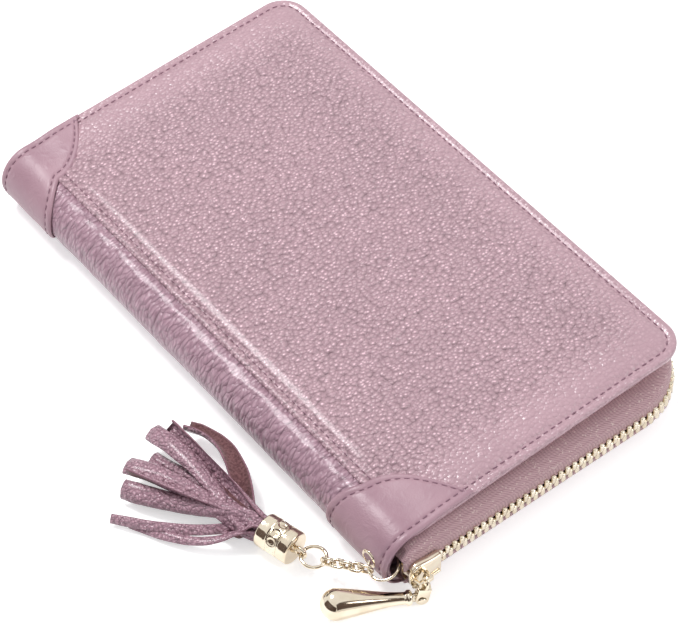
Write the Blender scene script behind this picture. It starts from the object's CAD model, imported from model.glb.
# %% [markdown]
# A long card holder wallet with a zip round three sides, lying closed on its back. Its covers are padded
# leather, its spine is a strip of coarser leather, and two smooth leather patches guard the spine's ends.
# A gold slider, a drop shaped pull, and a leather tassel on a short chain hang at the near end of the spine.
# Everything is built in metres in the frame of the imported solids. Sizes are written in millimetres and
# multiplied by MM, because a leather worker thinks in millimetres.

# %% Load the frame
import bmesh
import bpy
import math
from mathutils import Matrix, Vector, noise


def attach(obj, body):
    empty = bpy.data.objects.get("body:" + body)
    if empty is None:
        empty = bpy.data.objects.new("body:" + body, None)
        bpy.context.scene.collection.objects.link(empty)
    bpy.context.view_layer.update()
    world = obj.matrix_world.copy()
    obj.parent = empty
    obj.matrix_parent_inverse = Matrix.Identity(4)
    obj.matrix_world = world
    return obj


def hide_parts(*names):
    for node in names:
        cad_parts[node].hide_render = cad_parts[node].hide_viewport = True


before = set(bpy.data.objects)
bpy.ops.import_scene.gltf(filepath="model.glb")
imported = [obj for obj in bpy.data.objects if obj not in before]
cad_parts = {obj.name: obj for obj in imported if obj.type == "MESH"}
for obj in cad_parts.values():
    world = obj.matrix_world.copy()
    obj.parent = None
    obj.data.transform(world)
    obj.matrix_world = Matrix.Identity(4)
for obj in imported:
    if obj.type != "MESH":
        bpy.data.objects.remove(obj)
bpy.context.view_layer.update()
MM = 0.001

# %% [markdown]
# The main sizes of the wallet. The covers meet the spine at the seam and the zip runs at the opening edge.
# The wallet is thicker at the zip than at the spine, so the front cover slopes.

# %% Sizes of the wallet
HALF = 97.5
SEAM_X, OPEN_X = -47.25, 57.75
SPINE_H, OPEN_H = 21.0, 27.0
COVER = 2.4
CORNER = 9.5
SPINE_R = 9.2
SPINE_Z = SPINE_H / 2
RUN = OPEN_X - SEAM_X
TILT = math.atan2(OPEN_H - SPINE_H, RUN)
FRONT_UP = Vector((-math.sin(TILT), 0, math.cos(TILT)))
COVER_W = RUN / math.cos(TILT)


def on_front(u, y, n):
    """A point on the front cover: u from the seam, y along the spine, n up from the cover's underside."""
    x = SEAM_X + u * math.cos(TILT) - n * math.sin(TILT)
    z = SPINE_H - COVER + u * math.sin(TILT) + n * math.cos(TILT)
    return Vector((x, y, z))


print("front cover slopes", round(math.degrees(TILT), 2), "degrees")

# %% [markdown]
# The camera stands at the near end of the spine, about 49 degrees above the table, and looks through a long
# lens. The floor is pale, and a white world shows behind the object.

# %% Camera
camera_data = bpy.data.cameras.new("camera")
camera_data.sensor_width = 36
camera_data.lens = 143.71
camera_data.clip_start, camera_data.clip_end = 0.05, 20
camera = bpy.data.objects.new("camera", camera_data)
right = Vector((0.78626481, -0.61785357, -0.00667906))
above = Vector((0.47035029, 0.59147607, 0.65492493))
behind = Vector((-0.4006972, -0.51808593, 0.75566443))
placed = Matrix((right, above, behind)).transposed().to_4x4()
placed.translation = Vector((-338.2225, -440.9289, 635.1266)) * MM
camera.matrix_world = placed
bpy.context.scene.collection.objects.link(camera)
bpy.context.scene.camera = camera
bpy.context.scene.view_settings.view_transform = "Standard"
print("camera at", [round(c, 3) for c in camera.location])


# %% [markdown]
# A few helpers keep the cells short. `add` puts a node in a tree and fills its inputs with values or with the
# sockets of other nodes, so it serves shader trees and geometry trees alike. `spread` maps one range to another,
# and `surface` ends a material: it links the colour and the gloss, and turns a height into bumps.

# %% Node helpers
def link(name, data):
    """A new object, linked to the scene."""
    thing = bpy.data.objects.new(name, data)
    bpy.context.scene.collection.objects.link(thing)
    return thing


def add(tree, kind, inputs=None, **settings):
    node = tree.nodes.new(kind)
    for key, value in settings.items():
        setattr(node, key, value)
    for key, value in (inputs or {}).items():
        if isinstance(value, bpy.types.NodeSocket):
            tree.links.new(value, node.inputs[key])
        else:
            node.inputs[key].default_value = value
    return node


def compute(tree, operation, a, b=0.0):
    return add(tree, "ShaderNodeMath", {0: a, 1: b}, operation=operation).outputs[0]


def times(tree, a, b):
    return compute(tree, "MULTIPLY", a, b)


def vector(tree, operation, a, b):
    return add(tree, "ShaderNodeVectorMath", {0: a, 1: b}, operation=operation).outputs[0]


def spread(tree, source, low, high, to_low=0.0, to_high=1.0):
    """The source's range low to high, mapped smoothly to another range."""
    return add(tree, "ShaderNodeMapRange", {"Value": source, "From Min": low, "From Max": high, "To Min": to_low,
                                            "To Max": to_high}, interpolation_type="SMOOTHSTEP").outputs["Result"]


def blend_colour(tree, share, *colours):
    """From the first colour to the second by a share. A colour is a socket or three numbers."""
    low, high = (c if isinstance(c, bpy.types.NodeSocket) else (*c, 1) for c in colours)
    return add(tree, "ShaderNodeMix", {0: share, 6: low, 7: high}, data_type="RGBA").outputs[2]


def soft_noise(tree, where, scale, detail=3.0):
    return add(tree, "ShaderNodeTexNoise", {"Vector": where, "Scale": scale, "Detail": detail}).outputs["Fac"]


def cells(tree, where, scale, feature="F1"):
    return add(tree, "ShaderNodeTexVoronoi", {"Vector": where, "Scale": scale}, feature=feature).outputs


def bare_tree(owner):
    """The empty node tree of a material or world."""
    owner.use_nodes = True
    owner.node_tree.nodes.clear()
    return owner.node_tree


def new_material(name, values):
    """A material with its tree, its shader and the place on the object."""
    material = bpy.data.materials.new(name)
    tree = bare_tree(material)
    shader = add(tree, "ShaderNodeBsdfPrincipled", values)
    add(tree, "ShaderNodeOutputMaterial", {"Surface": shader.outputs[0]})
    return material, tree, shader, add(tree, "ShaderNodeTexCoord").outputs["Object"]


def surface(tree, shader, colour, height, depth, rough=None):
    """Links a colour, bumps of a depth in millimetres, and a roughness if it varies."""
    bump = add(tree, "ShaderNodeBump", {"Height": height, "Strength": 1.0, "Distance": depth * MM}).outputs[0]
    for source, key in ((colour, "Base Color"), (bump, "Normal"), (rough, "Roughness")):
        if source:
            tree.links.new(source, shader.inputs[key])


print("node helpers ready")

# %% [markdown]
# Pebbled leather is smooth film over small rounded pebbles with valleys between them. A cell pattern gives each
# pebble its dome, and the same pattern gives the distance to the valleys, which are darker. A little noise warps it,
# so that no two pebbles are alike. The tops are worn lighter and glossier, some more than others. The gloss changes
# slowly over the panel, because handling polishes leather unevenly. A cover's leather is pulled over the padding's
# ends and its open edge, and the pebbles are flatter there.

# %% Pebbled leather
DOME_FALL = 2.6
ENDS_CALM = ((HALF - 22.5) * MM, (HALF - 6.5) * MM)
OPEN_CALM = ((OPEN_X - 16.75) * MM, (OPEN_X - 2.75) * MM)


def pulled_calm(tree, where):
    """1 in the middle of a cover, less where its leather is pulled over the ends and the open edge."""
    side = add(tree, "ShaderNodeSeparateXYZ", {0: where}).outputs
    ends = spread(tree, compute(tree, "ABSOLUTE", side[1]), *ENDS_CALM, 1.0, 0.3)
    return times(tree, ends, spread(tree, side[0], *OPEN_CALM, 1.0, 0.45))


def pebbled_leather(name, colour, deep, pebble, relief, rough, stretch=(1, 1, 1), warp=0.35, tops=0.8, pulled=False):
    material, tree, shader, where = new_material(name, {"Coat Weight": 0.25, "Coat Roughness": 0.14, "IOR": 1.5})
    fine = 1 / (pebble * MM)
    stray = 2 * warp / fine
    stretched = add(tree, "ShaderNodeMapping", {"Vector": where, "Scale": stretch}).outputs[0]
    bent = add(tree, "ShaderNodeTexNoise", {"Vector": stretched, "Scale": 0.45 * fine, "Detail": 2.0}).outputs["Color"]
    bent = vector(tree, "SUBTRACT", bent, (0.5, 0.5, 0.5))
    bent = vector(tree, "ADD", stretched, vector(tree, "MULTIPLY", bent, (stray, stray, stray)))
    pebbles = cells(tree, bent, fine)
    middle = pebbles["Distance"]
    chance = add(tree, "ShaderNodeSeparateColor", {"Color": pebbles["Color"]}).outputs[0]
    domes = compute(tree, "SUBTRACT", 1.0, times(tree, times(tree, middle, middle), DOME_FALL))
    worn = times(tree, spread(tree, middle, 0.33, 0.07), spread(tree, chance, 0.1, 0.6, 0.25, 1.0))
    valley = spread(tree, cells(tree, bent, fine, "DISTANCE_TO_EDGE")["Distance"], 0.02, 0.2)
    if pulled:
        calm = pulled_calm(tree, where)
        domes, worn = times(tree, domes, calm), times(tree, worn, calm)
        even = times(tree, compute(tree, "SUBTRACT", 1.0, calm), 0.45)
        valley = times(tree, compute(tree, "MAXIMUM", valley, even), spread(tree, calm, 0.0, 1.0, 0.6, 1.0))
    small = cells(tree, bent, 2.7 * fine)["Distance"]
    grains = times(tree, compute(tree, "SUBTRACT", 1.0, times(tree, small, small)), 0.06)
    pores = times(tree, soft_noise(tree, where, 2600.0), 0.03)
    height = compute(tree, "ADD", compute(tree, "ADD", domes, grains), pores)
    shade = blend_colour(tree, valley, deep, colour)
    shade = blend_colour(tree, times(tree, worn, tops), shade, [min(c * 1.85, 0.92) for c in colour])
    broad = soft_noise(tree, where, 38.0)
    toned = vector(tree, "MULTIPLY", shade, spread(tree, broad, 0.3, 0.7, 0.97, 1.03))
    gloss = compute(tree, "SUBTRACT", spread(tree, broad, 0.3, 0.7, *rough), times(tree, worn, 0.08))
    surface(tree, shader, toned, height, relief, gloss)
    return material


cover_leather = pebbled_leather("cover_leather", (0.52, 0.34, 0.385), (0.46, 0.29, 0.335), 1.5, 0.42, (0.22, 0.28),
                                stretch=(1, 1.15, 1), tops=0.9, pulled=True)
spine_leather = pebbled_leather("spine_leather", (0.43, 0.265, 0.325), (0.36, 0.21, 0.265), 2.2, 0.36, (0.32, 0.4),
                                stretch=(0.8, 1.5, 0.7), warp=0.9, tops=0.35)
tassel_leather = pebbled_leather("tassel_leather", (0.43, 0.25, 0.305), (0.34, 0.19, 0.24), 1.2, 0.34, (0.2, 0.28),
                                 warp=0.7, tops=0.6)
print("pebbled leathers ready")

# %% [markdown]
# The corner patches are smooth leather: only fine pores and a few long creases where the leather is pulled
# over the corner.

# %% Smooth leather
def smooth_leather(name, colour, deep, crease, relief, rough):
    material, tree, shader, where = new_material(name, {"Coat Weight": 0.12, "Coat Roughness": 0.25})
    folds = add(tree, "ShaderNodeTexNoise", {"Vector": where, "Scale": 1 / (crease * MM), "Detail": 4.0,
                                             "Distortion": 1.4}, noise_type="RIDGED_MULTIFRACTAL").outputs["Fac"]
    pores = cells(tree, where, 2100.0)["Distance"]
    height = compute(tree, "ADD", times(tree, folds, 0.6), times(tree, pores, 0.16))
    broad = soft_noise(tree, where, 60.0, 2.0)
    shade = blend_colour(tree, spread(tree, broad, 0.3, 0.7), deep, colour)
    surface(tree, shader, shade, height, relief, spread(tree, broad, 0.3, 0.7, *rough))
    return material


patch_leather = smooth_leather("patch_leather", (0.425, 0.258, 0.306), (0.365, 0.213, 0.26), 4.0, 0.3, (0.4, 0.5))
print("smooth leather ready")

# %% [markdown]
# The fleshy side of the tassel's strips is suede: no gloss, a brown-red colour and a fine nap, which a little
# sheen gives. The stitches are waxed thread, a shade darker than the leather.

# %% Suede and thread
def matt(name, colour, deep, grain, relief, rough, sheen):
    material, tree, shader, where = new_material(name, {"Roughness": rough, "Sheen Weight": sheen})
    nap = soft_noise(tree, where, 1 / (grain * MM), 4.0)
    surface(tree, shader, blend_colour(tree, spread(tree, nap, 0.35, 0.65), deep, colour), nap, relief)
    return material


suede = matt("suede", (0.20, 0.085, 0.09), (0.11, 0.04, 0.045), 0.8, 0.25, 0.95, 0.3)
thread = matt("thread", (0.30, 0.165, 0.215), (0.22, 0.11, 0.155), 0.3, 0.08, 0.55, 0.1)
cut_edge = matt("cut_edge", (0.30, 0.15, 0.19), (0.22, 0.10, 0.135), 0.5, 0.1, 0.7, 0.0)
print("suede and thread ready")

# %% [markdown]
# The zip's tape and the lining are woven. A weave is two sets of fine waves across each other, so it is built
# from two Wave textures at right angles. A few bright yarns give the tape its glitter.

# %% Woven cloth
def woven(name, colour, deep, pitch, rough, glitter):
    material, tree, shader, where = new_material(name, {"Sheen Weight": 0.15})
    waves = []
    for turned in (math.radians(45), math.radians(-45)):
        across = add(tree, "ShaderNodeMapping", {"Vector": where, "Rotation": (turned, turned, turned)}).outputs[0]
        waves.append(add(tree, "ShaderNodeTexWave", {"Vector": across, "Scale": 0.31 / (pitch * MM), "Distortion": 0.6,
                                                     "Detail": 1.0}, wave_type="BANDS").outputs["Fac"])
    height = compute(tree, "MAXIMUM", *waves)
    specks = add(tree, "ShaderNodeSeparateColor", {"Color": cells(tree, where, 2700.0)["Color"]}).outputs[0]
    bright = compute(tree, "GREATER_THAN", specks, 1 - glitter)
    shade = blend_colour(tree, spread(tree, height, 0.2, 0.9), deep, colour)
    shade = blend_colour(tree, bright, shade, (0.66, 0.5, 0.48))
    surface(tree, shader, shade, height, 0.1, compute(tree, "SUBTRACT", rough, times(tree, bright, 0.4)))
    return material


tape_cloth = woven("tape_cloth", (0.53, 0.335, 0.36), (0.38, 0.215, 0.24), 0.5, 0.7, 0.04)
lining_cloth = woven("lining_cloth", (0.10, 0.035, 0.065), (0.05, 0.015, 0.03), 0.6, 0.85, 0.0)
print("woven cloths ready")

# %% [markdown]
# The hardware is plated a pale champagne gold and polished. Real plating is never one even mirror: soft
# casting waves bend its reflections, fine rub marks change its gloss, and dirt settles in its corners.

# %% Plated gold
def plated(name, colour, deep, rough, wave):
    material, tree, shader, where = new_material(name, {"Metallic": 1.0})
    cast, rubs = soft_noise(tree, where, 200.0, 1.0), soft_noise(tree, where, 1500.0)
    shade = blend_colour(tree, spread(tree, cast, 0.3, 0.7), deep, colour)
    surface(tree, shader, shade, cast, wave, spread(tree, rubs, 0.3, 0.7, rough * 0.7, rough * 1.4))
    return material


gold = plated("gold", (0.80, 0.71, 0.57), (0.70, 0.60, 0.46), 0.1, 0.03)
teeth_gold = plated("teeth_gold", (0.82, 0.74, 0.61), (0.70, 0.61, 0.47), 0.2, 0.02)
print("metal ready")

# %% [markdown]
# Every shell here is made from rings or rows of points. `ring_faces` joins rings to a tube, `sheet_faces` joins two
# grids to a closed sheet, and `make_object` turns points and faces into a piece that rides on its body. A closed
# mesh gets its normals turned outwards once.

# %% Mesh helpers
def dress(piece, body, nodes=()):
    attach(piece, body)
    if nodes:
        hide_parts(*nodes)


def turn_out(piece, merge=0.0):
    """Turns a closed mesh's faces outwards, after merging its doubles where that is asked."""
    work = bmesh.new()
    work.from_mesh(piece.data)
    if merge:
        bmesh.ops.remove_doubles(work, verts=work.verts, dist=merge)
    bmesh.ops.recalc_face_normals(work, faces=work.faces)
    if work.calc_volume(signed=True) < 0:
        bmesh.ops.reverse_faces(work, faces=work.faces)
    work.to_mesh(piece.data)
    work.free()


def make_object(name, points, faces, materials, body, slot, nodes=(), picks=None):
    mesh = bpy.data.meshes.new(name)
    mesh.from_pydata([Vector(p) * MM for p in points], [], faces)
    mesh.validate()
    for material in materials:
        mesh.materials.append(material)
    for face, pick in zip(mesh.polygons, picks or []):
        face.material_index = pick
    mesh.shade_smooth()
    piece = link(name, mesh)
    turn_out(piece)
    dress(piece, body, nodes)
    return piece


def ring_faces(rows, count, closed_rows=False):
    """Faces between rings of the same number of points, capped at both ends unless the rows close too."""
    faces = []
    for k in range(rows if closed_rows else rows - 1):
        here, there = k * count, (k + 1) % rows * count
        for i in range(count):
            j = (i + 1) % count
            faces.append((here + i, here + j, there + j, there + i))
    if not closed_rows:
        faces += [tuple(reversed(range(count))), tuple(range((rows - 1) * count, rows * count))]
    return faces


def sheet_faces(rows, columns):
    """Faces of a closed sheet between two grids that follow each other in the list of points."""
    def quad(*corners):
        return tuple((side * rows + i) * columns + j for side, i, j in corners)

    faces = []
    for i in range(rows - 1):
        for j in range(columns - 1):
            faces += [quad((s, i, j), (s, i + 1, j), (s, i + 1, j + 1), (s, i, j + 1)) for s in (0, 1)]
        faces += [quad((0, i, j), (0, i + 1, j), (1, i + 1, j), (1, i, j)) for j in (0, columns - 1)]
    for j in range(columns - 1):
        faces += [quad((0, i, j), (0, i, j + 1), (1, i, j + 1), (1, i, j)) for i in (0, rows - 1)]
    return faces


def around(count, shift=0.0):
    """Cosine and sine of evenly spaced angles."""
    angles = [2 * math.pi * (k + shift) / count for k in range(count)]
    return [(math.cos(angle), math.sin(angle)) for angle in angles]


def lerp(a, b, share):
    return a + (b - a) * share


def smooth(share):
    share = min(max(share, 0.0), 1.0)
    return share * share * (3 - 2 * share)


def uneven(*place):
    """Soft noise at a place, for folds and swellings."""
    return noise.noise(Vector(place))


print("mesh helpers ready")

# %% [markdown]
# Stitches, teeth and wire loops repeat, so Geometry Nodes make them. Each tree has its inputs, and ends in real
# geometry with a material. The stitch tree takes a polyline, places points on it at the stitch pitch, and puts a
# slim rounded bar on each, in line with the path. Modelling each stitch by hand would be slower to change, and a
# bump map would be flat at the edge of the wallet.

# %% Stitch tree
def start_tree(name, sockets):
    """A geometry tree with its sockets, and its inputs."""
    tree = bpy.data.node_groups.new(name, "GeometryNodeTree")
    for label, kind in sockets.items():
        tree.interface.new_socket(label, in_out="INPUT", socket_type="NodeSocket" + kind)
    tree.interface.new_socket("Geometry", in_out="OUTPUT", socket_type="NodeSocketGeometry")
    return tree, add(tree, "NodeGroupInput").outputs


def end_tree(tree, geometry, material):
    real = add(tree, "GeometryNodeRealizeInstances", {"Geometry": geometry}).outputs[0]
    done = add(tree, "GeometryNodeSetMaterial", {"Geometry": real, "Material": material}).outputs[0]
    add(tree, "NodeGroupOutput", {0: done})
    return tree


def spots_along(tree, path, pitch):
    curve = add(tree, "GeometryNodeMeshToCurve", {"Mesh": path}).outputs[0]
    return add(tree, "GeometryNodeCurveToPoints", {"Curve": curve, "Length": pitch}, mode="LENGTH").outputs


def put_on(tree, spots, thing, turned):
    return add(tree, "GeometryNodeInstanceOnPoints", {"Points": spots["Points"], "Instance": thing,
                                                      "Rotation": turned}).outputs[0]


def stitch_tree():
    tree, given = start_tree("stitch_row", {"Path": "Geometry", "Pitch": "Float", "Length": "Float",
                                            "Thread Radius": "Float", "Thread": "Material"})
    spots = spots_along(tree, given["Path"], given["Pitch"])
    ball = add(tree, "GeometryNodeMeshUVSphere", {"Segments": 8, "Rings": 6, "Radius": 1.0}).outputs[0]
    thick, half = given["Thread Radius"], times(tree, given["Length"], 0.5)
    size = add(tree, "ShaderNodeCombineXYZ", {0: thick, 1: thick, 2: half}).outputs[0]
    bar = add(tree, "GeometryNodeTransform", {"Geometry": ball, "Scale": size}).outputs[0]
    rounded = add(tree, "GeometryNodeSetShadeSmooth", {"Geometry": bar}).outputs[0]
    return end_tree(tree, put_on(tree, spots, rounded, spots["Rotation"]), given["Thread"])


def grow(name, rows, tree, inputs):
    """Runs a geometry tree on rows of joined points, and returns the result as a plain object."""
    points, edges = [], []
    for row in rows:
        edges += [(i, i + 1) for i in range(len(points), len(points) + len(row) - 1)]
        points += [Vector(p) * MM for p in row]
    path = bpy.data.meshes.new(name + "_path")
    path.from_pydata(points, edges, [])
    base = link(name, path)
    modifier = base.modifiers.new("grow", "NODES")
    modifier.node_group = tree
    for item in tree.interface.items_tree:
        if item.in_out == "INPUT" and item.name in inputs:
            modifier[item.identifier] = inputs[item.name]
    bpy.context.view_layer.update()
    solid = base.evaluated_get(bpy.context.evaluated_depsgraph_get())
    mesh = bpy.data.meshes.new_from_object(solid)
    base.modifiers.clear()
    base.data = mesh
    bpy.data.meshes.remove(path)
    return base


stitches = stitch_tree()
STITCH_PITCH, STITCH_SHARE, THREAD_R = 2.7, 0.66, 0.21
STITCH_FACES = 48


def sew(name, rows):
    row = grow(name, rows, stitches, {"Pitch": STITCH_PITCH * MM, "Length": STITCH_PITCH * STITCH_SHARE * MM,
                                      "Thread Radius": THREAD_R * MM, "Thread": thread})
    dress(row, "wallet")
    print(name, len(row.data.polygons) // STITCH_FACES, "stitches")


print("stitch tree ready")

# %% [markdown]
# A padded cover is leather folded round a board. From the outside in, its profile is a rounded folded edge, a
# narrow flat, the groove that the stitches draw in, and then the swell of the padding, which flattens towards
# the middle. The profile is swept round the cover's outline, and each ring is a little further in.
# A cloth simulation could puff it too, but the groove would be lost in the remesh, so the swell is modelled.

# %% Front and back cover
CORNER_STEPS, SIDE_POINTS = 14, 24
SWELL = 0.22
SQUARE_R, INNER_R = 1.4, 2.5


def cover_outline(width, inset):
    """The outline moved in by inset: nearly square at the seam, rounded at the opening edge."""
    opening = max(CORNER - inset, 1.5 + inset * 0.12)
    seam = SQUARE_R if inset < 3 else INNER_R + inset * 0.12
    points = []
    for quarter, side in ((-1, -1), (0, 1), (1, 1), (2, -1)):
        radius, across = (opening, width - inset - opening) if quarter < 1 else (seam, inset + seam)
        for i in range(CORNER_STEPS + 1):
            angle = math.pi / 2 * (quarter + i / CORNER_STEPS)
            points.append((across + radius * math.cos(angle),
                           side * (HALF - inset - radius) + radius * math.sin(angle)))
    out = []
    for i, (u, y) in enumerate(points):
        next_u, next_y = points[(i + 1) % len(points)]
        parts = 1 if (i + 1) % (CORNER_STEPS + 1) else SIDE_POINTS + 1
        out += [(lerp(u, next_u, k / parts), lerp(y, next_y, k / parts)) for k in range(parts)]
    return out


def padded_cover(name, profile, width, place, wobble=0.0):
    """A profile of inset and height swept round the outline."""
    points = []
    for inset, n in profile:
        for u, y in cover_outline(width, inset):
            soft = wobble * smooth((inset - 4) / 6) * uneven(u * 0.045, y * 0.045, 3.1)
            points.append(place(u, y, n + soft))
    faces = ring_faces(len(profile), len(points) // len(profile))
    cover = make_object(name + "_padded", points, faces, [cover_leather], "wallet", "cover_leather", [name])
    print(name, len(faces), "faces")
    return cover


FRONT_PROFILE = [(6.0, 0.0), (1.0, 0.0), (0.45, 0.1), (0.12, 0.4), (0.0, 0.85), (0.0, 1.5), (0.14, 1.92), (0.45, 2.22),
                 (0.9, 2.36), (1.5, 2.38), (2.1, 2.26), (2.6, 2.04), (2.9, 1.98), (3.2, 2.05), (3.7, 2.32),
                 (4.5, 2.68), (5.6, 2.95), (7.0, 3.12), (9.0, 3.27), (12.0, 3.42), (16.0, 3.54), (21.0, 3.62),
                 (27.0, 3.66), (34.0, 3.68), (42.0, 3.69)]
BACK_PROFILE = [(42.0, COVER), (6.0, COVER), (1.0, COVER), (0.45, 2.3), (0.12, 2.0), (0.0, 1.55), (0.0, 0.9),
                (0.14, 0.48), (0.45, 0.18), (0.9, 0.04), (1.5, 0.02), (2.2, 0.14), (2.9, 0.3), (3.6, 0.14), (4.5, 0.0),
                (42.0, 0.0)]
front_cover = padded_cover("front_cover", FRONT_PROFILE, COVER_W, on_front, SWELL)
padded_cover("back_cover", BACK_PROFILE, RUN, lambda u, y, n: Vector((SEAM_X + u, y, n)))

# %% [markdown]
# A corner patch wraps the end of the spine from one cover to the other. Its edge is turned under, which makes a
# soft bead, and a row of stitches runs inside it. The sheet is described by how far round the wallet a line
# lies and how long the line is from the wallet's end to the turned edge. The cover sinks where a patch lies on
# it, as padding does under a sewn-on piece.

# %% Corner patches
PATCH_R, PATCH_THICK, PATCH_PROUD = 10.4, 0.9, 0.5
# near (-1) and far (1) patch: reach over the cover, length at the seam, length at the back of the spine
PATCH_SIZES = {-1: (22.0, 23.3, 27.5), 1: (20.0, 19.0, 27.5)}
PATCH_TIP = 1.6
TOP_LINES, ROUND_LINES = 34, 40
SEAM_INSET, SEAM_SINK = 2.5, 0.12


def patch_arch(share, reach):
    """Length of a patch at a share of its reach over the cover."""
    return max(reach * (1 - min(max(share, 0), 1) ** 2.1), PATCH_TIP)


def patch_lines(end):
    """Across the front cover, round the spine and back: place, outward direction and length of each line."""
    reach_x, reach_y, side = PATCH_SIZES[end]
    lines = []
    flat = [(1 - (i / TOP_LINES)) ** 0.7 for i in range(TOP_LINES)]
    for share in flat:
        x = SEAM_X + share * reach_x
        top = SPINE_H + (x - SEAM_X) * math.tan(TILT) + PATCH_PROUD
        z = lerp(SPINE_Z + PATCH_R, top, smooth(share / 0.55))
        lines.append((x, z, FRONT_UP, patch_arch(share, reach_y)))
    for i in range(ROUND_LINES + 1):
        angle = math.pi / 2 + math.pi * i / ROUND_LINES
        out = Vector((math.cos(angle), 0, math.sin(angle)))
        length = lerp(reach_y, side, -math.cos(angle))
        lines.append((SEAM_X + PATCH_R * out.x, SPINE_Z + PATCH_R * out.z, out, length))
    for share in reversed(flat):
        lines.append((SEAM_X + share * reach_x, SPINE_Z - PATCH_R, Vector((0, 0, -1)), patch_arch(share, reach_y)))
    return lines


def rim_drop(d):
    """How far the patch's skin lies under its full height at a distance from the turned edge."""
    if d < 1.0:
        return -0.6 * (1 - d) ** 2.2
    return -0.26 * math.exp(-((d - 2.5) / 0.5) ** 2)


PATCH_STEPS = [0.0, 0.1, 0.25, 0.5, 0.9, 1.4, 1.9, 2.2, 2.5, 2.8, 3.2, 3.8]
PATCH_MIDDLE = 14


def patch_piece(name, end, node):
    outer, inner = [], []
    for x, z, out, length in patch_lines(end):
        edge = [min(d, length / 2) for d in PATCH_STEPS]
        middle = [lerp(edge[-1], length - edge[-1], k / PATCH_MIDDLE) for k in range(1, PATCH_MIDDLE)]
        for d in edge + middle + [length - e for e in reversed(edge)]:
            at, rim = Vector((x, end * (HALF - length + d), z)), min(d, length - d)
            crease = 0.16 * uneven(x * 0.12, at.y * 0.16, z * 0.16) * smooth(rim / 4)
            outer.append(at + out * (rim_drop(rim) + crease))
            inner.append(at - out * PATCH_THICK)
    columns = 2 * len(PATCH_STEPS) + PATCH_MIDDLE - 1
    faces = sheet_faces(len(outer) // columns, columns)
    make_object(name, outer + inner, faces, [patch_leather], "wallet", "patch_leather", [node])
    print(name, len(faces), "faces")


def patch_seams(end):
    """The stitch rows of a patch: along its turned edge, and along the wallet's end."""
    edge, rim = [], []
    for x, z, out, length in patch_lines(end):
        if length > 4.2:
            edge.append(Vector((x, end * (HALF - length + SEAM_INSET), z)) - out * SEAM_SINK)
        if length > 3.4:
            rim.append(Vector((x, end * (HALF - SEAM_INSET), z)) - out * SEAM_SINK)
    return [edge, rim]


def beyond_patch(x, y):
    """How far a place lies outside the patch of its end, and its share of the patch's reach over the cover."""
    reach_x, reach_y = PATCH_SIZES[-1 if y < 0 else 1][:2]
    share = (x - SEAM_X) / reach_x
    return HALF - abs(y) - patch_arch(share, reach_y), share


def clear_of_patches(x, y):
    beyond, share = beyond_patch(x, y)
    return beyond > 0.4 or share > 1


patch_piece("near_patch_leather", -1, "near_corner_patch")
patch_piece("far_patch_leather", 1, "far_corner_patch")
sew("near_patch_stitches", patch_seams(-1))
sew("far_patch_stitches", patch_seams(1))
SUNK_TO, SUNK_SLOPE = 1.85, 4.2
for vertex in front_cover.data.vertices:
    x, y, z = vertex.co / MM
    n = (z - (SPINE_H - COVER)) * math.cos(TILT) - (x - SEAM_X) * math.sin(TILT)
    beyond, share = beyond_patch(x, y)
    if n > SUNK_TO and share <= 1.15:
        vertex.co -= FRONT_UP * (n - SUNK_TO) * (1 - smooth((beyond + 0.9) / SUNK_SLOPE)) * MM

# %% [markdown]
# Each cover is sewn in its groove wherever no patch lies on it. On the flat underside the stitches are sunk
# to half their thickness, so that the wallet still lies flat.

# %% Stitches of the covers
GROOVE, GROOVE_TOP, GROOVE_LOW = 2.9, 2.12, 0.26


def broken_rows(points):
    """The runs of a closed outline that lie clear of the patches, as rows of points."""
    rows, row = [], []
    for point in points:
        if clear_of_patches(point.x, point.y):
            row.append(point)
        elif row:
            rows.append(row)
            row = []
    if row and rows and clear_of_patches(points[0].x, points[0].y):
        rows[0] = row + rows[0]
    elif row:
        rows.append(row)
    return [row for row in rows if len(row) > 2]


def dense_outline(width):
    """The cover's groove as points about a millimetre apart."""
    corners = cover_outline(width, GROOVE)
    places = []
    for (u0, y0), (u1, y1) in zip(corners, corners[1:] + corners[:1]):
        parts = max(1, round(math.hypot(u1 - u0, y1 - y0)))
        places += [(lerp(u0, u1, k / parts), lerp(y0, y1, k / parts)) for k in range(parts)]
    return places


sew("front_cover_stitches", broken_rows([on_front(u, y, GROOVE_TOP) for u, y in dense_outline(COVER_W)]))
sew("back_cover_stitches", broken_rows([Vector((SEAM_X + u, y, GROOVE_LOW)) for u, y in dense_outline(RUN)]))

# %% [markdown]
# The spine is one strip of leather that comes out from under the front cover, rolls round the back of the
# wallet and goes under the back cover. Bending wrinkles it, so the sheet gets real folds along and across,
# from noise, and they fade out under the patches.

# %% Spine leather
SPINE_STEPS, SPINE_ROWS = 44, 130
SPINE_THICK, SPINE_SHORT, SPINE_FLAP = 1.3, 0.6, 7


def spine_wrinkle(angle, y):
    along = uneven(angle * 2.1, y * 0.16, 0.7)
    fine = uneven(angle * 6.5, y * 0.42, 5.2)
    fade = smooth((HALF - 24 - abs(y)) / 6)
    return (0.22 * along + 0.12 * fine) * (0.25 + 0.75 * fade) * smooth(math.sin(angle - math.pi / 2) * 3)


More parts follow.
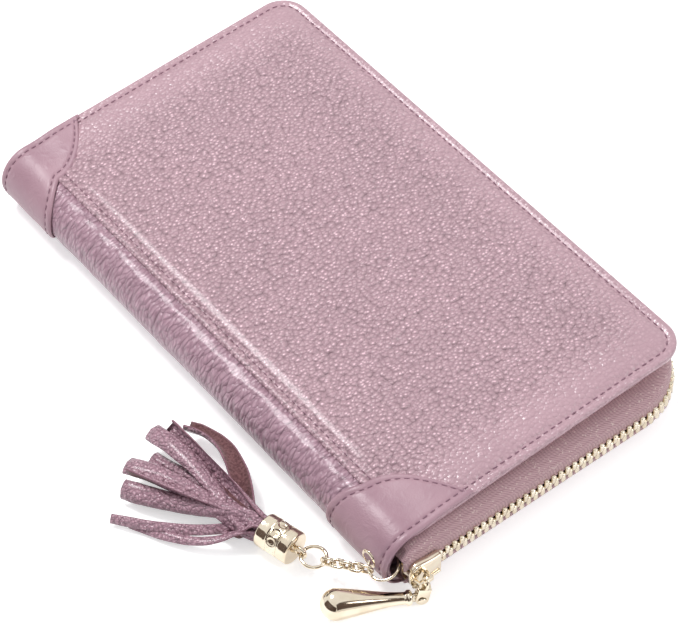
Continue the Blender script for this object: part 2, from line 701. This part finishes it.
outer, inner = [], []
for i in range(SPINE_STEPS + 3):
    for j in range(SPINE_ROWS + 1):
        y = lerp(SPINE_SHORT - HALF, HALF - SPINE_SHORT, j / SPINE_ROWS)
        step = min(max(i - 1, 0), SPINE_STEPS)
        angle = math.pi / 2 + math.pi * step / SPINE_STEPS
        reach = SEAM_X + SPINE_FLAP if i in (0, SPINE_STEPS + 2) else None
        for points, radius in ((outer, SPINE_R + spine_wrinkle(angle, y)), (inner, SPINE_R - SPINE_THICK)):
            points.append(Vector((reach or SEAM_X + radius * math.cos(angle), y, SPINE_Z + radius * math.sin(angle))))
spine = make_object("spine_leather_wrap", outer + inner, sheet_faces(SPINE_STEPS + 3, SPINE_ROWS + 1), [spine_leather],
                    "wallet", "spine_leather", ["spine_wrap"])
print("spine:", len(spine.data.polygons), "faces")

# %% [markdown]
# The zip runs along the near end, round two corners and along the opening edge. Both tapes and both rows of
# teeth follow that one run, so the run is a function, and everything else is an inset from it and a height.

# %% Run of the zip
TEETH_Z, BULGE, ZIP_R = 9.0, 3.0, 22.0
TAPE_START, TAPE_END = -53.0, -46.0
TAPE_THICK = 0.7
END_STEPS, TURN_STEPS, SIDE_STEPS = 36, 18, 60


def zip_run(inset, start=TAPE_START, end=TAPE_END):
    radius = ZIP_R - inset
    x1, y1 = OPEN_X + BULGE - ZIP_R, HALF + BULGE - ZIP_R
    points = [(lerp(start, x1, k / END_STEPS), -y1 - radius) for k in range(END_STEPS)]
    for side, begin in ((-1, -math.pi / 2), (1, 0.0)):
        for i in range(TURN_STEPS + 1):
            angle = begin + math.pi / 2 * i / TURN_STEPS
            points.append((x1 + radius * math.cos(angle), side * y1 + radius * math.sin(angle)))
        if side < 0:
            points += [(x1 + radius, lerp(-y1, y1, k / SIDE_STEPS)) for k in range(1, SIDE_STEPS)]
    return points + [(lerp(x1, end, k / END_STEPS), y1 + radius) for k in range(1, END_STEPS + 1)]


print("zip run has", len(zip_run(0)), "points")

# %% [markdown]
# Each tape is a woven band. It stands up beside the teeth, bends over and goes in under its cover. A smooth
# curve through a few section points gives the bend, and the run carries the section round the wallet.

# %% Zip tapes
def rounded(section, parts=4):
    """More points through a section, on a Catmull-Rom curve."""
    out = []
    for i in range(len(section) - 1):
        p0, p1, p2 = section[max(i - 1, 0)], section[i], section[i + 1]
        p3 = section[min(i + 2, len(section) - 1)]
        for k in range(parts):
            t = k / parts
            out.append(tuple(0.5 * (2 * b + (c - a) * t + (2 * a - 5 * b + 4 * c - d) * t * t
                                    + (3 * b - a - 3 * c + d) * t ** 3) for a, b, c, d in zip(p0, p1, p2, p3)))
    return out + [section[-1]]


FLOOR = COVER + 0.3 + TAPE_THICK / 2 - TEETH_Z


HOLLOW_R = 7.3


def inside_spine(x, z):
    """A height kept in the hollow of the spine leather, where the tapes go in under it."""
    if x > SEAM_X + SPINE_FLAP:
        return z
    room = math.sqrt(max(HOLLOW_R ** 2 - min(x - SEAM_X, 0) ** 2, 4))
    ease = smooth((SEAM_X + SPINE_FLAP - x) / 3)
    return lerp(z, min(max(z, SPINE_Z - room), SPINE_Z + room), ease)


def under_front(x):
    """The height of the tape where it lies against the front cover's underside."""
    return SPINE_H - COVER + (x - SEAM_X) * math.tan(TILT) - 0.6


TAPES = {
    "upper": [(0, 2.4), (0, 3.8), (0.05, 5.3), (1.0, 7.6), (3.0, 8.9), (5.6, 9.3)],
    "lower": [(0, -2.4), (0, -3.4), (0.15, -4.5), (0.9, FLOOR + 0.5), (2.6, FLOOR), (7.4, FLOOR)],
}


def tape_piece(which):
    section = rounded(TAPES[which])
    grids = []
    for side in (1, -1):
        columns = []
        for j, (inset, height) in enumerate(section):
            before, after = section[max(j - 1, 0)], section[min(j + 1, len(section) - 1)]
            rise, run = after[1] - before[1], after[0] - before[0]
            size = math.hypot(rise, run)
            off_n = -side * TAPE_THICK / 2 * abs(rise) / size
            off_z = side * TAPE_THICK / 2 * run / size * (1 if which == "upper" else -1)
            columns.append([Vector((x, y, inside_spine(x, TEETH_Z + height + off_z)))
                            for x, y in zip_run(inset + off_n)])
        if which == "upper":
            for inset in (6.2 - side * 0.2, 6.5 - side * 0.35):
                columns.append([Vector((x, y, inside_spine(x, TEETH_Z + 9.4 if side > 0 else under_front(x))))
                                for x, y in zip_run(inset)])
        grids.append(columns)
    rows, count = len(grids[0]), len(grids[0][0])
    points = [p for columns in grids for column in columns for p in column]
    return make_object(which + "_tape_cloth", points, sheet_faces(rows, count), [tape_cloth], "wallet", "zip_tape",
                       [which + "_zip_tape"])


for which, cover in (("upper", "front_cover_padded"), ("lower", "back_cover_padded")):
    tape = tape_piece(which)
    places = [Vector(place) for place in zip_run(0)]

# %% [markdown]
# A metal zip has a separate tooth at each pitch, clamped on the tape's cord. The two rows are half a pitch
# apart, so each tooth's head sits between two of the other row. One small tooth is modelled with a waist and a
# rounded head, and a tree puts it along the run and turns it with the run.

# %% Teeth tree
def tooth_tree():
    tree, given = start_tree("tooth_row", {"Path": "Geometry", "Pitch": "Float", "Tooth": "Object",
                                           "Metal": "Material"})
    spots = spots_along(tree, given["Path"], given["Pitch"])
    turned = add(tree, "FunctionNodeAlignRotationToVector", {"Vector": spots["Tangent"]}, axis="X",
                 pivot_axis="Z").outputs[0]
    tooth = add(tree, "GeometryNodeObjectInfo", {"Object": given["Tooth"]}).outputs["Geometry"]
    return end_tree(tree, put_on(tree, spots, tooth, turned), given["Metal"])


def tooth_shape(side):
    """One tooth: along the run, across it, and up from the line where the rows meet."""
    rings = [(0.5, 0.95, -0.62), (0.62, 1.25, -0.5), (0.64, 1.38, 0.0), (0.57, 1.4, 0.45), (0.56, 1.42, 0.9),
             (0.62, 1.46, 1.3), (0.64, 1.5, 2.35), (0.54, 1.3, 2.6)]
    points = []
    for half_x, half_y, z in rings:
        for c, s in around(TOOTH_SIDES, 0.5):
            square = 1 / max(abs(c), abs(s)) ** 0.9
            points.append(Vector((half_x * c * square, half_y * s * square, side * z)) * MM)
    mesh = bpy.data.meshes.new("tooth")
    mesh.from_pydata(points, [], ring_faces(len(rings), TOOTH_SIDES))
    mesh.shade_smooth()
    shape = bpy.data.objects.new("tooth", mesh)
    turn_out(shape)
    return shape


teeth = tooth_tree()
TOOTH_PITCH, TOOTH_SIDES = 2.65, 12
TEETH_START = -43.2
for name, side in (("upper", 1), ("lower", -1)):
    shape = tooth_shape(side)
    start = TEETH_START + (TOOTH_PITCH / 2 if side < 0 else 0)
    path = [Vector((x, y, TEETH_Z)) for x, y in zip_run(0, start, TAPE_END + 1)]
    row = grow(name + "_teeth_row", [path], teeth, {"Pitch": TOOTH_PITCH * MM, "Tooth": shape, "Metal": teeth_gold})
    dress(row, "wallet", [name + "_zip_teeth"])
    print(name, "row:", len(row.data.polygons), "faces")
    bpy.data.objects.remove(shape)

# %% [markdown]
# The teeth are clamped on a cord along the tape's edge. It is the same sweep as a wire: a small circle
# carried along the run.

# %% Cords under the teeth
CORD_INSET, CORD_Z, CORD_R, CORD_AFTER = 0.3, 1.75, 0.8, 10.5


def sweep(path, radius, sides=10):
    """Points and faces of a round wire along a path."""
    points = []
    for i, p in enumerate(path):
        along = (path[min(i + 1, len(path) - 1)] - path[max(i - 1, 0)]).normalized()
        side = along.cross(Vector((0, 0, 1))).normalized()
        points += [p + side * c * radius + side.cross(along) * s * radius for c, s in around(sides)]
    return points, ring_faces(len(path), sides)


for name, z in (("upper", TEETH_Z + CORD_Z), ("lower", TEETH_Z - CORD_Z)):
    path = [Vector((x, y, z)) for x, y in zip_run(CORD_INSET, TAPE_START + CORD_AFTER)]
    make_object(name + "_tape_cord", *sweep(path, CORD_R), [tape_cloth], "wallet", "zip_tape")
print("tape cords done")

# %% [markdown]
# The slider, the bail with its block, and the rivet are cast and stamped parts with softened edges. The solids
# have the right shapes with sharp edges, so each piece is a copy of its solid with its doubles merged, its flat
# faces joined, and a small bevel that catches the light. Modelling them anew would only repeat the solids.

# %% Slider, bail and rivet
def softened(name, node, width, body, segments=3):
    work = bmesh.new()
    work.from_mesh(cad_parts[node].data)
    bmesh.ops.remove_doubles(work, verts=work.verts, dist=2e-6)
    bmesh.ops.dissolve_limit(work, angle_limit=math.radians(2), verts=work.verts, edges=work.edges)
    sharp = [e for e in work.edges if len(e.link_faces) == 2 and e.calc_face_angle(0) > math.radians(35)]
    bmesh.ops.bevel(work, geom=sharp, offset=width * MM, segments=segments, profile=0.5, affect="EDGES",
                    clamp_overlap=True)
    bmesh.ops.triangulate(work, faces=work.faces)
    mesh = bpy.data.meshes.new(name)
    work.to_mesh(mesh)
    work.free()
    mesh.materials.append(gold)
    mesh.shade_smooth()
    mesh.set_sharp_from_angle(angle=math.radians(40))
    dress(link(name, mesh), body, [node])
    print(name, len(mesh.polygons), "faces")


softened("slider_body", "slider", 0.22, "slider")
SLIDER_FACE = Vector((-52.8, -103.0, TEETH_Z))
RIDGE = [(1.3, 3.6), (2.4, 4.25), (4.0, 4.4), (6.2, 4.05), (8.0, 3.8), (11.1, 3.75)]
for name, side in (("upper", 1), ("lower", -1)):
    line = [SLIDER_FACE + Vector((x, 0, side * z)) for x, z in rounded(RIDGE)]
    make_object(f"slider_{name}_ridge", *sweep(line, 0.5), [gold], "slider", "gold_metal")
softened("pull_block", "pull_bail", 0.22, "bail")
softened("pull_rivet_round", "pull_rivet", 0.12, "bail", 2)

# %% [markdown]
# Turned parts are one profile spun round an axis. The drop has a flat tab, a collar, a slim neck that swells,
# and a round bulb. The tassel's cap has three bands, and its middle band is cut with oval facets, which the
# radius takes from the angle and the place along the axis.

# %% Turned parts
def turned_piece(name, profile, place, body, nodes, sides=64, shape=lambda r, x, angle: r):
    points = []
    for x, r in profile:
        for k, (c, s) in enumerate(around(sides)):
            size = shape(max(r, 0.02), x, 2 * math.pi * k / sides)
            points.append(place @ Vector((x, size * c, size * s)))
    return make_object(name, points, ring_faces(len(profile), sides), [gold], body, "gold_metal", nodes)


def turn(z=0.0, y=0.0, x=0.0):
    return Matrix.Rotation(z, 4, "Z") @ Matrix.Rotation(y, 4, "Y") @ Matrix.Rotation(x, 4, "X")


LUG = Vector((-49.3, -105.8, TEETH_Z))
PULL_TURN, PULL_LEAN, PULL_LENGTH = math.radians(-28), math.radians(10), 7.0
rivet_at = LUG + turn(PULL_TURN, PULL_LEAN) @ Vector((0, 0, -PULL_LENGTH))
BULB, DROP_LENGTH, TAB, NECK = 4.7, 26.5, 2.8, 1.85
drop_pitch = math.asin((BULB - rivet_at.z) / (TAB + DROP_LENGTH - BULB))
drop_place = Matrix.Translation(rivet_at) @ turn(PULL_TURN, drop_pitch) @ Matrix.Rotation(math.pi, 4, "Z")
profile = [(TAB, 0.0), (TAB, 1.6), (TAB + 0.12, 2.05), (TAB + 0.4, 2.32), (TAB + 0.9, 2.4), (TAB + 1.4, 2.32),
           (TAB + 1.75, 2.05), (TAB + 1.95, NECK)]
bulb_at = TAB + DROP_LENGTH - BULB
for share in [i / 22 for i in range(1, 22)]:
    swell = smooth(share) ** 0.5 * share ** 0.75
    profile.append((lerp(TAB + 2.0, bulb_at - 0.4, share), lerp(NECK, BULB * 0.995, swell)))
profile += [(bulb_at + BULB * math.sin(a), BULB * math.cos(a)) for a in [math.pi / 2 * k / 16 for k in range(17)]]
turned_piece("drop_polished", profile, drop_place, "drop", ["pull_drop"])
print("drop points to the table at", round(math.degrees(drop_pitch), 1), "degrees")


def tab_points():
    """The drop's tab: a flat plate with a round end and the rivet's hole."""
    end, hole, half = 1.6, 0.9, 0.5
    points = []
    for radius, z in ((hole, -half), (hole, half), (end, half), (end, -half)):
        for c, s in around(32):
            x = (TAB + 0.6) * min(1.0, 1.6 * c) if radius == end and c > 0 else radius * c
            points.append(drop_place @ Vector((x, z, radius * s)))
    return points


make_object("drop_tab", tab_points(), ring_faces(4, 32, closed_rows=True), [gold], "drop", "gold_metal")

# %% [markdown]
# The eyelet is a rolled tube of thin metal with a round flange, set through the patch and the spine leather.

# %% Eyelet
EYELET = Vector((SEAM_X - SPINE_R + 0.65, -HALF + 7.1, SPINE_Z))
flange = [(1.15, 2.0), (0.8, 2.02), (-1.5, 2.0), (-1.85, 2.08), (-2.02, 2.3), (-2.0, 2.6), (-1.85, 2.9),
          (-1.6, 3.08), (-1.4, 3.1), (-1.35, 3.0), (-1.3, 2.4), (0.9, 2.35), (1.15, 2.3)]
points = [EYELET + Vector((x, r * c, r * s)) for x, r in flange for c, s in around(48)]
make_object("eyelet_rolled", points, ring_faces(len(flange), 48, closed_rows=True), [gold], "wallet", "gold_metal",
            ["eyelet"])
print("eyelet at", [round(c, 1) for c in EYELET])

# %% [markdown]
# Rings and chain links are the same thing at different sizes: a closed loop of round wire. One tree draws a
# rounded slot shape as a curve, gives it a round profile and returns a mesh. Each loop is then placed in its
# own link of the chain, a quarter turn from the one before.

# %% Wire loop tree
def loop_tree():
    tree, given = start_tree("wire_loop", {"Seed": "Geometry", "Length": "Float", "Width": "Float", "Wire": "Float",
                                           "Metal": "Material"})
    long = compute(tree, "SUBTRACT", given["Length"], given["Wire"])
    wide = compute(tree, "SUBTRACT", given["Width"], given["Wire"])
    box = add(tree, "GeometryNodeCurvePrimitiveQuadrilateral", {"Width": long, "Height": wide}).outputs[0]
    slot = add(tree, "GeometryNodeFilletCurve", {"Curve": box, "Count": 14, "Radius": times(tree, wide, 0.4999)},
               mode="POLY").outputs[0]
    half = times(tree, given["Wire"], 0.5)
    section = add(tree, "GeometryNodeCurvePrimitiveCircle", {"Resolution": 16, "Radius": half}).outputs[0]
    wire = add(tree, "GeometryNodeCurveToMesh", {"Curve": slot, "Profile Curve": section}).outputs[0]
    rounded_wire = add(tree, "GeometryNodeSetShadeSmooth", {"Geometry": wire}).outputs[0]
    return end_tree(tree, rounded_wire, given["Metal"])


loops = loop_tree()


def wire_loop(name, length, width, wire, place, body, nodes=()):
    loop = grow(name, [[(0, 0, 0)]], loops, {"Length": length * MM, "Width": width * MM, "Wire": wire * MM,
                                             "Metal": gold})
    scaled = place.copy()
    scaled.translation = place.translation * MM
    loop.data.transform(scaled)
    turn_out(loop, merge=1e-6)
    dress(loop, body, nodes)


RING_R, RING_WIRE, DROOP = 4.5, 1.0, math.radians(20)
LINK_LENGTH, LINK_WIDTH, LINK_WIRE, LINK_GAP, LINKS = 5.2, 3.7, 1.0, 0.2, 5
ring_place = Matrix.Translation(EYELET + Vector((0, -RING_R, 0))) @ turn(0, -DROOP)
SLIM_RING, SLIM_WIRE = 9.7, 0.9
wire_loop("eyelet_ring_wire", SLIM_RING, SLIM_RING, SLIM_WIRE, ring_place, "eyelet_ring", ["eyelet_ring"])
chain_from, chain_turn = math.radians(32), math.radians(27.6)
chain_start = ring_place @ Vector((-math.cos(chain_from) * RING_R, math.sin(chain_from) * RING_R, 0))
CAP_R = 5.3
pitch = LINK_LENGTH - 2 * LINK_WIRE - LINK_GAP
dip = math.asin((chain_start.z - CAP_R) / (LINKS * pitch))
run = Vector((-math.sin(chain_turn) * math.cos(dip), math.cos(chain_turn) * math.cos(dip), -math.sin(dip)))
first = (LINK_LENGTH - LINK_WIRE) / 2 - (RING_WIRE + LINK_WIRE) / 2 - LINK_GAP
for i in range(LINKS):
    at = chain_start + run * (first + i * pitch)
    place = Matrix.Translation(at) @ turn(math.pi / 2 + chain_turn, dip, math.pi / 2 if i % 2 == 0 else 0)
    wire_loop(f"chain_wire_{i + 1}", LINK_LENGTH, LINK_WIDTH, LINK_WIRE, place, f"chain_link_{i + 1}",
              [f"chain_link_{i + 1}"])
TASSEL_RING_R, TASSEL_WIRE = 3.7, 1.1
reach = (LINK_LENGTH - LINK_WIRE) / 2 - (LINK_WIRE + TASSEL_WIRE) / 2 - LINK_GAP
touch = chain_start + run * (first + (LINKS - 1) * pitch + reach)
tassel_ring_at = touch + Vector((-math.sin(chain_turn), math.cos(chain_turn), 0)) * TASSEL_RING_R
across = 2 * TASSEL_RING_R + TASSEL_WIRE
wire_loop("tassel_ring_wire", across, across, TASSEL_WIRE, Matrix.Translation(tassel_ring_at), "tassel_ring",
          ["tassel_ring"])
print("chain has", LINKS, "links, pitch", pitch, "mm")

# %% [markdown]
# The tassel's cap holds the rolled end of the fringe. It is turned metal with two grooves, and its middle band
# has a ring of oval facets.

# %% Tassel cap
CAP_LENGTH, FACETS = 11.5, 10
eye_turn, cap_turn = math.radians(24), math.radians(13.5)
EYE_R, EYE_WIRE = 1.75, 1.1
eye_reach = TASSEL_RING_R + 2 * EYE_R - (EYE_WIRE + TASSEL_WIRE) / 2 - LINK_GAP
tassel_at = tassel_ring_at + Vector((-math.sin(eye_turn), math.cos(eye_turn), 0)) * eye_reach
tassel_place = Matrix.Translation(tassel_at) @ turn(math.pi / 2 + cap_turn)
band = CAP_LENGTH / 3


def cap_shape(r, x, angle):
    """The cap's radius, sunk where an oval facet is cut in the middle band."""
    if not band + 0.3 < x < 2 * band - 0.3 or r < 4.5:
        return r
    part = 2 * math.pi / FACETS
    aside = ((angle + part / 2) % part - part / 2) * CAP_R / 1.35
    along = (x - 1.5 * band) / (band * 0.42)
    inside = 1 - aside * aside - along * along
    return r + 0.12 if inside < 0 else r + 0.12 - 0.45 * min(1.0, inside * 1.6)


cap_profile = [(0.0, 0.0), (0.0, 2.5), (0.0, 4.6), (0.08, 4.95), (0.3, 5.2), (0.7, 5.3)]
cap_profile += [(lerp(0.7, band - 0.5, k / 4), 5.3) for k in range(1, 5)]
cap_profile += [(band - 0.25, 5.15), (band, 4.8), (band + 0.25, 4.95)]
cap_profile += [(lerp(band + 0.35, 2 * band - 0.35, k / 24), 5.1) for k in range(25)]
cap_profile += [(2 * band - 0.25, 4.95), (2 * band, 4.8), (2 * band + 0.25, 5.15), (2 * band + 0.5, 5.3)]
cap_profile += [(lerp(2 * band + 0.5, CAP_LENGTH - 0.5, k / 4), 5.3) for k in range(1, 5)]
cap_profile += [(CAP_LENGTH - 0.2, 5.25), (CAP_LENGTH - 0.03, 5.1), (CAP_LENGTH, 4.9), (CAP_LENGTH - 0.1, 4.6),
                (CAP_LENGTH - 1.0, 4.45), (CAP_LENGTH - 6.0, 4.4), (CAP_LENGTH - 6.0, 0.0)]
cap = turned_piece("tassel_cap_turned", cap_profile, tassel_place, "tassel", ["tassel_cap"], 160, cap_shape)
eye_place = tassel_place @ Matrix.Translation((-EYE_R, 0, 0)) @ turn(0, 0, math.pi / 2)
wire_loop("tassel_cap_eye", 2 * EYE_R + EYE_WIRE, 2 * EYE_R + EYE_WIRE, EYE_WIRE, eye_place, "tassel")
print("cap:", len(cap.data.polygons), "faces")

# %% [markdown]
# The fringe is one strip of leather cut into narrow tails and rolled up, and its tails fan out on the table.
# Each tail is a ribbon along a curve. It is glossy leather on one side and suede on the other, it turns over in
# places, and its cut edges curl. A cloth simulation of loose tails would scatter them in another way each
# time, so their ways are drawn by hand, and the table keeps them from sinking.

# %% Tassel fringe
TAILS = [
    # reach, aside and lift of the tip; then the same of the middle; width, roll at root and tip, and curl
    ((49, -7.5, 0.8), (25, -3.4, 2.6), 6.9, 0.5, 0.1, 1.1),
    ((45.5, -11.8, -0.6), (25, -7.8, 1.6), 7.6, -1.1, -0.7, -1.5),
    ((42, -14.6, -1.0), (23, -13.0, 0.8), 6.9, 2.7, 3.4, 1.4),
    ((44, -2.8, -2.0), (24, -1.6, 0.4), 4.2, -0.6, 0.4, 0.8),
    ((43.5, 1.4, -2.8), (24, 0.6, -0.6), 3.9, 0.9, -0.3, 0.8),
    ((46.5, 6.9, 0.4), (25, 3.8, 3.0), 7.3, 0.1, -0.2, 1.2),
    ((42.5, 13.5, -1.4), (25, 8.6, 0.8), 6.9, -0.5, -0.9, 1.3),
    ((39.2, 23.1, -3.2), (19, 12.5, -2.6), 3.2, -1.2, -0.5, 0.7),
    ((33.9, 20.3, -3.8), (16, 15.0, -3.2), 2.9, 0.6, -0.3, 0.6),
    ((41, 9.8, -3.4), (23, 6.0, -2.2), 5.9, 1.3, 0.5, 1.0),
    ((38, -8.5, -3.2), (22, -5.5, -1.6), 6.2, -1.0, 0.2, 1.0),
    ((12, 5.8, -3.4), (7, 5.0, -2.2), 4.8, 0.9, 1.1, 0.9),
    ((44, 8.4, 1.0), (24, 5.6, 3.4), 3.6, 0.9, 1.3, 0.8),
]
TAIL_STEPS, TAIL_SIDES = 44, 16
ROOT_R, TAIL_THICK = 3.4, 1.0
GOLDEN_ANGLE = 2.399963
TABLE, TABLE_EASE = -CAP_R + 0.15, 0.9


def tail(index, tip, mid, width, roll0, roll1, curl):
    """Points of one tail: a strip whose section is curled, carried along a curve from the cap to its tip."""
    points = []
    angle = index * GOLDEN_ANGLE
    root = Vector((-3.0, math.cos(angle) * ROOT_R * 0.6, math.sin(angle) * ROOT_R * 0.6))
    mid, tip = Vector(mid), Vector(tip)
    leave = Vector((6.0 * min(1, mid.x / 20), root.y * 1.3 + mid.y * 0.12, root.z * 1.2))
    control = mid * 2 - (leave + tip) * 0.5
    for i in range(TAIL_STEPS + 1):
        t = i / TAIL_STEPS
        s = (t - 0.25) / 0.75
        points.append(root.lerp(leave, t / 0.25) if s < 0 else
                      leave * (1 - s) ** 2 + control * 2 * s * (1 - s) + tip * s * s)
    line = [sum((points[min(max(i + k, 0), TAIL_STEPS)] for k in range(-4, 5)), Vector()) / 9 for i in
            range(TAIL_STEPS + 1)]
    line[0], line[-1] = root, tip
    skin = []
    for i, at in enumerate(line):
        t = i / TAIL_STEPS
        ahead = (line[min(i + 1, TAIL_STEPS)] - line[max(i - 1, 0)]).normalized()
        at = at + Vector((0, 0.55 * math.sin(t * 8 + index * 2.1) * t, 0.6 * math.sin(t * 9 + index) * t))
        flat = Vector((-ahead.y, ahead.x, 0)).normalized()
        up = ahead.cross(flat)
        roll = lerp(roll0, roll1, t) + 0.3 * math.sin(t * 5.0 + index * 1.7)
        across = flat * math.cos(roll) + up * math.sin(roll)
        over = up * math.cos(roll) - flat * math.sin(roll)
        lump = 1 + 0.1 * uneven(t * 9, index * 3.7, 0.3)
        half = width / 2 * lerp(0.62, 1.0, smooth(t * 2.4)) * lump
        curled = curl * lerp(1.5, 1.0, smooth(t * 2)) * (1 + 0.25 * math.sin(t * 6 + index))
        for k, (c, v) in enumerate(around(TAIL_SIDES)):
            aside = math.copysign(abs(c) ** 0.5, c)
            bend = aside * curled
            spread_out = half * math.sin(bend) / abs(curled) if abs(curled) > 0.2 else half * aside
            drop = -half * (1 - math.cos(bend)) / curled if abs(curled) > 0.2 else 0.0
            rough = 0.12 * uneven(t * 26, 2 * math.pi * k / TAIL_SIDES * 1.3, index * 5.1)
            shell = (TAIL_THICK / 2 + rough) * math.copysign(abs(v) ** 0.65, v)
            p = at + across * (spread_out + shell * math.sin(bend)) + over * (drop + shell * math.cos(bend))
            if p.z < TABLE + TABLE_EASE:
                p.z = TABLE + TABLE_EASE * math.exp((p.z - TABLE - TABLE_EASE) / TABLE_EASE)
            skin.append(p)
    return skin


def fringe_piece():
    points, faces, picks = [], [], []
    for index, row in enumerate(TAILS):
        first = len(points)
        points += tail(index, *row)
        for face in ring_faces(TAIL_STEPS + 1, TAIL_SIDES):
            faces.append(tuple(first + i for i in face))
            ks = {i % TAIL_SIDES for i in face}
            middle = TAIL_SIDES // 2
            if len(face) > 4 or ks in ({0, 1}, {0, TAIL_SIDES - 1}, {middle - 1, middle}, {middle, middle + 1}):
                picks.append(2)
            else:
                picks.append(0 if max(ks) <= middle else 1)
    place = tassel_place @ Matrix.Translation((CAP_LENGTH, 0, 0))
    first, core = len(points), 24
    for x, r in ((-6.0, 4.1), (-0.6, 4.2), (0.3, 4.0), (0.6, 3.2), (0.4, 1.0)):
        points += [Vector((x, r * c, r * s)) for c, s in around(core)]
    for face in ring_faces(5, core):
        faces.append(tuple(first + i for i in face))
        picks.append(1)
    return make_object("tassel_tails", [place @ p for p in points], faces, [tassel_leather, suede, cut_edge], "tassel",
                       "tassel_leather", ["tassel_fringe"], picks)


fringe = fringe_piece()
print("fringe:", len(TAILS), "tails,", len(fringe.data.polygons), "faces")

# %% [markdown]
# The linings, dividers, card pockets and gussets are sealed inside. Their solids keep their shapes and get the
# woven lining. Anything metal that is still a plain solid gets the plated finish.

# %% Finish of the carried-over solids
for name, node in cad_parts.items():
    node.data.materials.clear()
    inner = any(word in name for word in ("lining", "divider", "pockets", "gusset"))
    node.data.materials.append(lining_cloth if inner else gold)
print("solids dressed")

# %% [markdown]
# A soft box hangs far beyond the wallet's far end, so that the leather's glints come towards the camera. A second one
# fills the zip's side, and a weak bluish one stands at the spine. The world lights the shadows evenly. The floor is
# white and keeps the wallet's shadow. Three brown cards give the polished metal something dark to reflect.

# %% Stage and light
def soft_box(name, place, size, power, colour=(1, 1, 1)):
    light = bpy.data.lights.new(name, "AREA")
    light.shape = "RECTANGLE"
    light.size, light.size_y = size
    light.energy = power
    light.color = colour
    lamp = link(name, light)
    lamp.location = place
    lamp.rotation_euler = (Vector((0, 0, 0.01)) - Vector(place)).to_track_quat("-Z", "Y").to_euler()


def seen_rays(tree):
    """1 for what the camera sees straight, in a mirror or through glass."""
    rays = add(tree, "ShaderNodeLightPath").outputs
    mirrored = compute(tree, "MAXIMUM", rays["Is Camera Ray"], rays["Is Glossy Ray"])
    return compute(tree, "MAXIMUM", mirrored, rays["Is Transmission Ray"])


def stage_sheet(name, corners):
    """A flat sheet of the stage, and the tree of its paint."""
    mesh = bpy.data.meshes.new(name)
    mesh.from_pydata(corners, [], [(0, 1, 2, 3)])
    mesh.materials.append(bpy.data.materials.new(name + "_paint"))
    sheet = link(name, mesh)
    return sheet, bare_tree(mesh.materials[0])


soft_box("key", (-0.17, 0.6, 1.0), (0.32, 0.3), 9.0)
soft_box("fill", (0.5, -0.8, 0.6), (0.6, 0.4), 4.0)
soft_box("side", (-0.95, -0.1, 0.5), (0.5, 0.35), 0.9, (0.86, 0.9, 1.0))
world = bpy.data.worlds.new("studio")
bpy.context.scene.world = world
tree = bare_tree(world)
sky = add(tree, "ShaderNodeTexCoord").outputs["Generated"]
studio = add(tree, "ShaderNodeValToRGB", {"Fac": add(tree, "ShaderNodeSeparateXYZ", {0: sky}).outputs[2]})
stops = studio.color_ramp.elements
for at, colour in ((0.1, (0.12, 0.11, 0.11)), (0.3, (0.2, 0.19, 0.19)), (0.42, (0.75, 0.75, 0.76)),
                   (0.7, (0.6, 0.6, 0.6))):
    stops.new(at).color = (*colour, 1)
stops[0].color, stops[-1].color = (0.5, 0.5, 0.5, 1), (0.8, 0.8, 0.82, 1)
plain = add(tree, "ShaderNodeBackground", {"Color": studio.outputs["Color"], "Strength": 0.75}).outputs[0]
white = add(tree, "ShaderNodeBackground", {"Color": (1, 1, 1, 1), "Strength": 1.0}).outputs[0]
both = add(tree, "ShaderNodeMixShader", {0: seen_rays(tree), 1: plain, 2: white}).outputs[0]
add(tree, "ShaderNodeOutputWorld", {"Surface": both})

FLOOR_SIZE, FLOOR_LOW = 3, -0.0002
tree = stage_sheet("floor", [(x * FLOOR_SIZE, y * FLOOR_SIZE, FLOOR_LOW)
                             for x, y in ((-1, -1), (1, -1), (1, 1), (-1, 1))])[1]
paper = add(tree, "ShaderNodeBsdfDiffuse", {"Color": (0.86, 0.86, 0.86, 1)}).outputs[0]
glow = add(tree, "ShaderNodeEmission", {"Color": (1, 1, 1, 1), "Strength": 0.5}).outputs[0]
lit = add(tree, "ShaderNodeAddShader", {0: paper, 1: glow}).outputs[0]
kept = add(tree, "ShaderNodeMixShader", {0: seen_rays(tree), 1: paper, 2: lit}).outputs[0]
add(tree, "ShaderNodeOutputMaterial", {"Surface": kept})


def dark_card(name, corners):
    """A brown card that only reflections see, as a studio photographer puts beside polished metal."""
    card, tree = stage_sheet(name, corners)
    dull = add(tree, "ShaderNodeBsdfDiffuse", {"Color": (0.14, 0.1, 0.085, 1)}).outputs[0]
    add(tree, "ShaderNodeOutputMaterial", {"Surface": dull})
    card.visible_camera = card.visible_diffuse = card.visible_shadow = False


dark_card("left_card", [(-1.0, -1.2, 0.02), (-1.0, 0.7, 0.02), (-0.8, 0.7, 0.75), (-0.8, -1.2, 0.75)])
dark_card("near_card", [(-0.6, -1.0, 0.2), (1.0, -1.0, 0.2), (1.0, -0.8, 1.1), (-0.6, -0.8, 1.1)])
dark_card("far_card", [(-0.5, 1.6, 0.3), (1.2, 1.6, 0.3), (1.2, 1.5, 0.7), (-0.5, 1.5, 0.7)])
print("stage ready")
